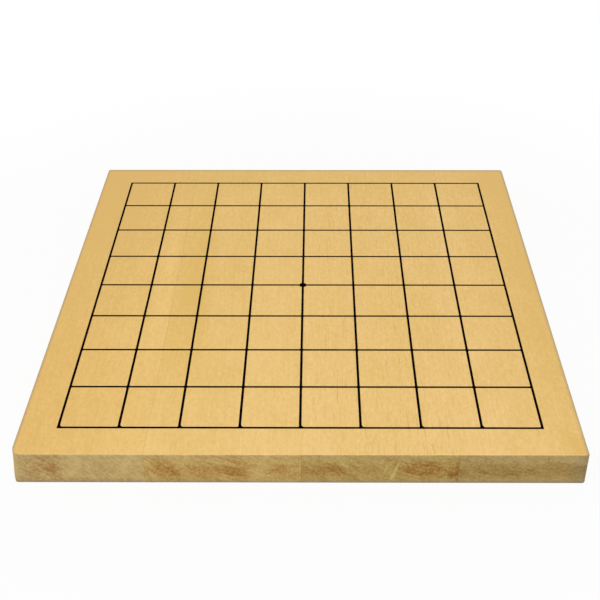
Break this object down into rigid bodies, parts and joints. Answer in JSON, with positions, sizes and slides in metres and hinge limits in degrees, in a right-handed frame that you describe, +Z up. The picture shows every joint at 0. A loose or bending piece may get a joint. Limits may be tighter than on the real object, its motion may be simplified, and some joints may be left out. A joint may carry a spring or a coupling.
{
  "type": "weiqi board",
  "caption": "Small flat weiqi board: an edge-glued pale wood panel with a nine by nine playing grid and its star point printed in black.",
  "frame": {"origin": "middle of the underside, where the board rests", "axes": "+X across the files, to the right of a player at the near end; +Y along the files and the grain, away from that player; +Z up, out of the playing face"},
  "size_m": [0.2046, 0.2194, 0.0137],
  "materials": {
    "wood": "satin lacquer",
    "glue": "cured glue, sanded flush",
    "ink": "black printing ink"
  },
  "bodies": {
    "root": {"stave_1": "wood", "stave_2": "wood", "stave_3": "wood", "stave_4": "wood", "glue_line_1": "glue", "glue_line_2": "glue", "glue_line_3": "glue", "file_line_1": "ink", "file_line_2": "ink", "file_line_3": "ink", "file_line_4": "ink", "file_line_5": "ink", "file_line_6": "ink", "file_line_7": "ink", "file_line_8": "ink", "file_line_9": "ink", "rank_line_1": "ink", "rank_line_2": "ink", "rank_line_3": "ink", "rank_line_4": "ink", "rank_line_5": "ink", "rank_line_6": "ink", "rank_line_7": "ink", "rank_line_8": "ink", "rank_line_9": "ink", "star_point": "ink"}
  },
  "joints": []
}
